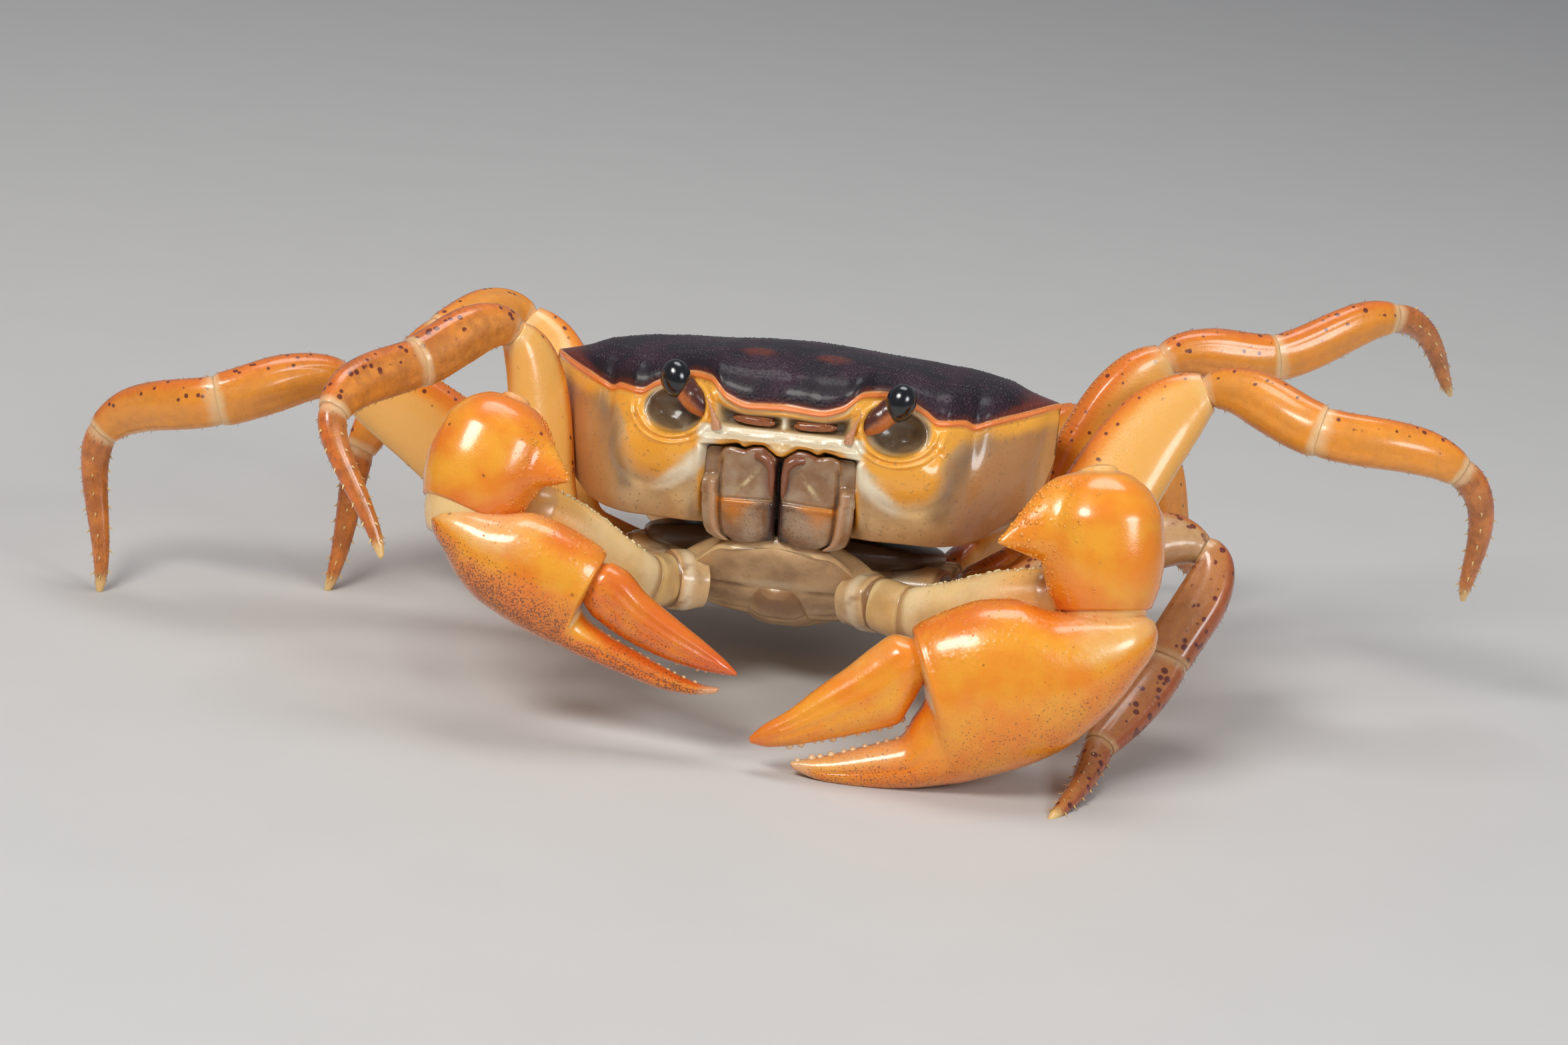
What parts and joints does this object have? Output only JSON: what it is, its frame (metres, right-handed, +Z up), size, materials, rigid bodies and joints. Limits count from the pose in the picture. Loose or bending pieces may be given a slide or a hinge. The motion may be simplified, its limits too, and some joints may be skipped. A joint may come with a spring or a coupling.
{
  "type": "freshwater crab",
  "caption": "Still life-size model of a Sundathelphusa freshwater crab, dark carapace and orange limbs, standing with raised legs and both claws held in front of the face.",
  "frame": {"origin": "on the floor, under the middle of the box of the whole crab", "axes": "+Z up from the floor, +X to the crab's own left, +Y towards its rear; the body itself is turned 8 degrees clockwise from these axes seen from above"},
  "size_m": [0.1072, 0.0692, 0.0289],
  "materials": {
    "shell": "glossy wet shell, dark purple-brown",
    "claw": "glossy wet shell, saturated orange",
    "leg": "glossy wet shell, orange",
    "leg_end": "satin shell with short bristles, red-brown",
    "underside": "glossy pale shell, cream",
    "mouthpart": "glossy translucent plate, grey-brown",
    "stalk": "glossy, red-brown",
    "eye": "polished, black"
  },
  "bodies": {
    "root": {"carapace": "shell", "plastron": "underside", "abdomen": "underside", "eye_l": "eye", "eyestalk_l": "stalk", "maxilliped_l": "mouthpart", "antennule_l": "stalk", "antenna_l": "leg", "claw_l_ischium": "underside", "claw_l_merus": "underside", "claw_l_carpus": "claw", "claw_l_palm": "claw", "claw_l_finger": "claw", "leg1_l_merus": "leg", "leg1_l_carpus": "leg", "leg1_l_propodus": "leg", "leg1_l_dactyl": "leg_end", "leg2_l_merus": "leg", "leg2_l_carpus": "leg", "leg2_l_propodus": "leg", "leg2_l_dactyl": "leg_end", "leg3_l_merus": "leg", "leg3_l_carpus": "leg", "leg3_l_propodus": "leg", "leg3_l_dactyl": "leg_end", "leg4_l_merus": "leg", "leg4_l_carpus": "leg", "leg4_l_propodus": "leg", "leg4_l_dactyl": "leg_end", "eye_r": "eye", "eyestalk_r": "stalk", "maxilliped_r": "mouthpart", "antennule_r": "stalk", "antenna_r": "leg", "claw_r_ischium": "underside", "claw_r_merus": "underside", "claw_r_carpus": "claw", "claw_r_palm": "claw", "claw_r_finger": "claw", "leg1_r_merus": "leg", "leg1_r_carpus": "leg", "leg1_r_propodus": "leg", "leg1_r_dactyl": "leg_end", "leg2_r_merus": "leg", "leg2_r_carpus": "leg", "leg2_r_propodus": "leg", "leg2_r_dactyl": "leg_end", "leg3_r_merus": "leg", "leg3_r_carpus": "leg", "leg3_r_propodus": "leg", "leg3_r_dactyl": "leg_end", "leg4_r_merus": "leg", "leg4_r_carpus": "leg", "leg4_r_propodus": "leg", "leg4_r_dactyl": "leg_end"}
  },
  "joints": []
}
